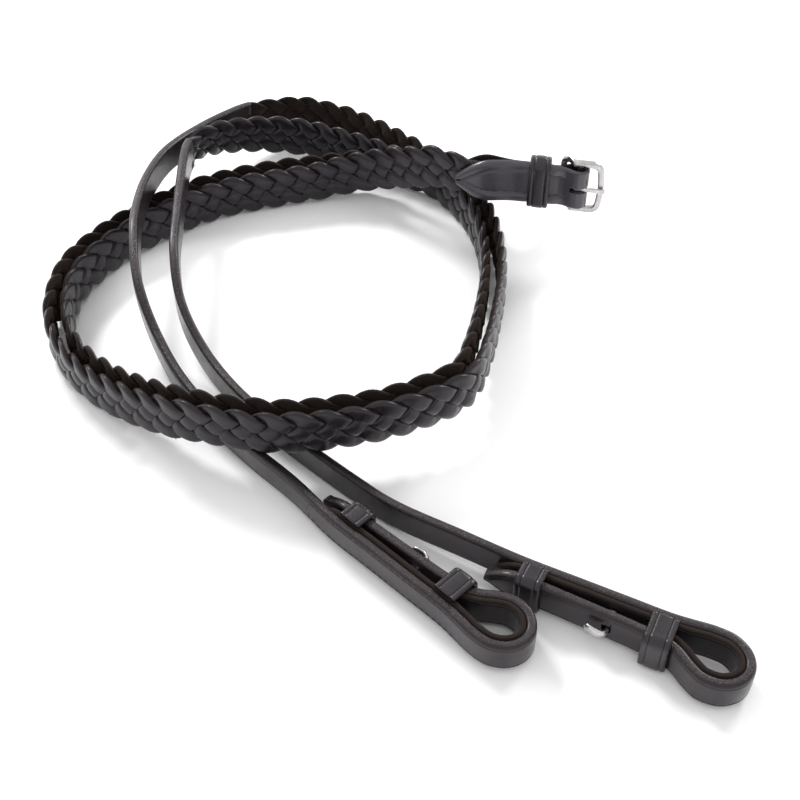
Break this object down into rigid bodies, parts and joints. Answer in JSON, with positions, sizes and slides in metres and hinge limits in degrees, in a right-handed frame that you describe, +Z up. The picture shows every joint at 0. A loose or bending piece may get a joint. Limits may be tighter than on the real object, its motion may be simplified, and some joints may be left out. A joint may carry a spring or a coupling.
{
  "type": "leather reins",
  "caption": "Plaited leather bridle reins, coiled on a flat surface, with folded hook-stud bit ends held by keepers, a pointed end and a stitched chape with a centre-bar buckle.",
  "frame": {"origin": "centre of the coiled reins' outline, at the height of the surface they lie on", "axes": "+Z up from the surface; +Y away from the folded bit ends, along the coil's longest extent; +X towards the buckle"},
  "size_m": [0.2657, 0.3294, 0.0483],
  "materials": {
    "smooth_leather": "smooth, satin, burnished edges",
    "liner_leather": "matt",
    "plaited_leather": "satin grain side, suede flesh side",
    "thread": "waxed",
    "steel": "satin"
  },
  "bodies": {
    "reins": {"point_rein_strap": "smooth_leather", "point_rein_liner": "liner_leather", "point_rein_front_keeper": "smooth_leather", "point_rein_rear_keeper": "smooth_leather", "point_rein_hook_stud": "steel", "point_rein_stitching": "thread", "point_rein_plait_strand_1": "plaited_leather", "point_rein_plait_strand_2": "plaited_leather", "point_rein_plait_strand_3": "plaited_leather", "point_rein_plait_strand_4": "plaited_leather", "point_strap": "smooth_leather", "buckle_rein_strap": "smooth_leather", "buckle_rein_liner": "liner_leather", "buckle_rein_front_keeper": "smooth_leather", "buckle_rein_rear_keeper": "smooth_leather", "buckle_rein_hook_stud": "steel", "buckle_rein_stitching": "thread", "buckle_rein_plait_strand_1": "plaited_leather", "buckle_rein_plait_strand_2": "plaited_leather", "buckle_rein_plait_strand_3": "plaited_leather", "buckle_rein_plait_strand_4": "plaited_leather", "buckle_chape": "smooth_leather", "chape_keeper": "smooth_leather", "chape_stitching": "thread"},
    "frame": {"buckle_frame": "steel"},
    "tongue": {"buckle_tongue": "steel"}
  },
  "joints": [
    {"name": "frame_turn", "type": "hinge", "parent": "reins", "child": "frame", "pos_m": [0.0941, 0.0742, 0.035], "axis": [0, 0, -1], "range_deg": [0, 60]},
    {"name": "tongue_lift", "type": "hinge", "parent": "frame", "child": "tongue", "pos_m": [0.0941, 0.0742, 0.035], "axis": [0, 0, -1], "range_deg": [0, 40]}
  ]
}
